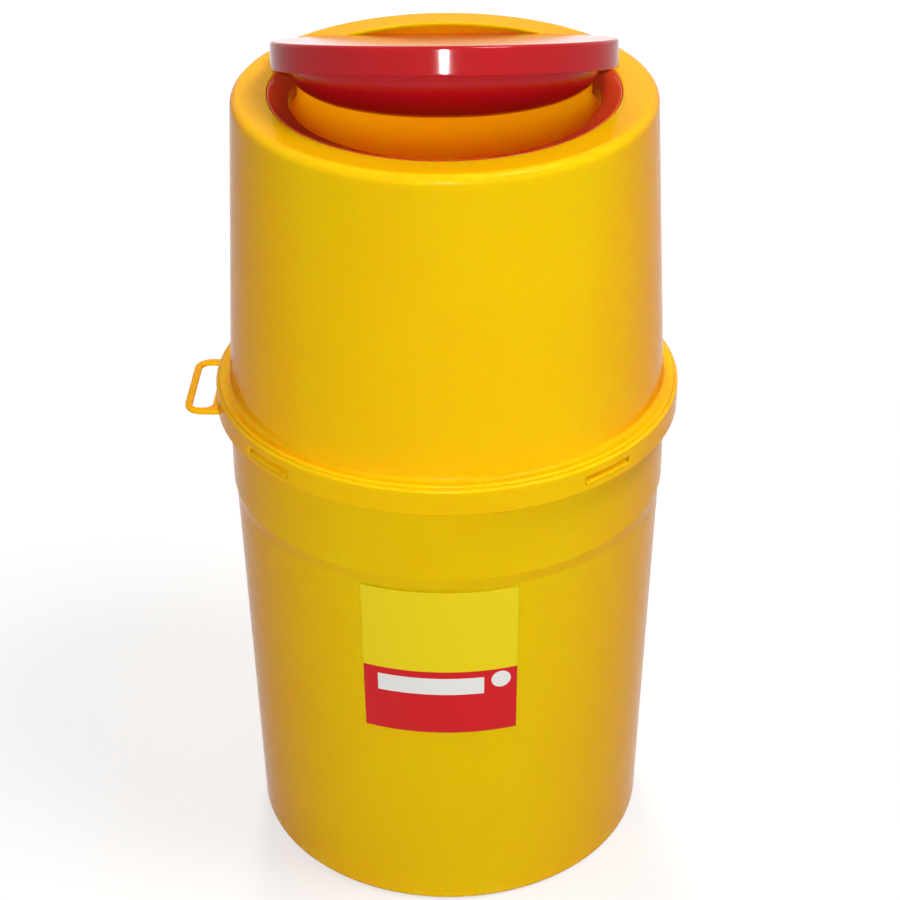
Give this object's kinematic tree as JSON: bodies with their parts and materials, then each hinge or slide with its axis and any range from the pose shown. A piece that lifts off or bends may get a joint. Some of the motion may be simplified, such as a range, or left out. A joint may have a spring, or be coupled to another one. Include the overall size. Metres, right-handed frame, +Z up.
{
  "type": "sharps container",
  "caption": "Tapered yellow sharps bin with a clipped hood, a red inlet collar and a dished red lid that tilts open on pivot pins.",
  "frame": {"origin": "centre of the base, on the surface that the container stands on", "axes": "+Z up along the container's axis, -Y to the front where the lid opens, -X to the hood's finger loop"},
  "size_m": [0.3216, 0.3014, 0.6007],
  "materials": {
    "yellow_plastic": "moulded polypropylene, satin",
    "red_plastic": "moulded polypropylene, glossy",
    "label_film": "printed film, satin"
  },
  "bodies": {
    "container": {"bucket": "yellow_plastic", "hood": "yellow_plastic", "collar_ring": "red_plastic", "label_sticker": "label_film"},
    "lid": {"lid_cap": "red_plastic", "lid_dish": "red_plastic", "pivot_pin_left": "red_plastic", "pivot_pin_right": "red_plastic"}
  },
  "joints": [
    {"name": "lid_tilt", "type": "hinge", "parent": "container", "child": "lid", "pos_m": [0, 0.04, 0.54503], "axis": [-1, 0, 0], "range_deg": [-19.3, 61]}
  ]
}
